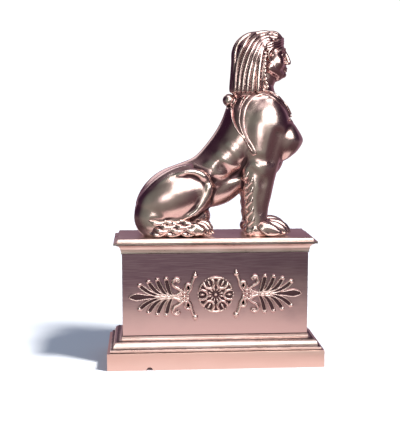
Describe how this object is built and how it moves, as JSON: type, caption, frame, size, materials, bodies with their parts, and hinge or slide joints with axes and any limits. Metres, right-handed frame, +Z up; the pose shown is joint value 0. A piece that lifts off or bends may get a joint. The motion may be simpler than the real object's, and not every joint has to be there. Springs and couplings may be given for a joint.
{
  "type": "sphinx statue",
  "caption": "Gilt bronze seated sphinx with a woman's head in a long straight wig, on a moulded rectangular plinth with a rosette and palmette mounts.",
  "frame": {"origin": "middle of the plinth's underside", "axes": "+Z up, +X the way the sphinx looks, the mounts on the -Y face"},
  "size_m": [0.22, 0.0852, 0.3395],
  "materials": {
    "figure": "polished rose gilt bronze, plum dark in the recesses",
    "mouldings": "burnished rose gilt bronze",
    "die": "satin gilt bronze, brushed lengthwise",
    "block": "satin gilt bronze with worn edges",
    "mounts": "chased and burnished gilt bronze, dark in the recesses"
  },
  "bodies": {
    "root": {"sphinx": "figure", "plinth_cap": "mouldings", "plinth_die": "die", "plinth_moulding": "mouldings", "plinth_base": "block", "rosette": "mounts", "palmette_left": "mounts", "palmette_right": "mounts"}
  },
  "joints": []
}
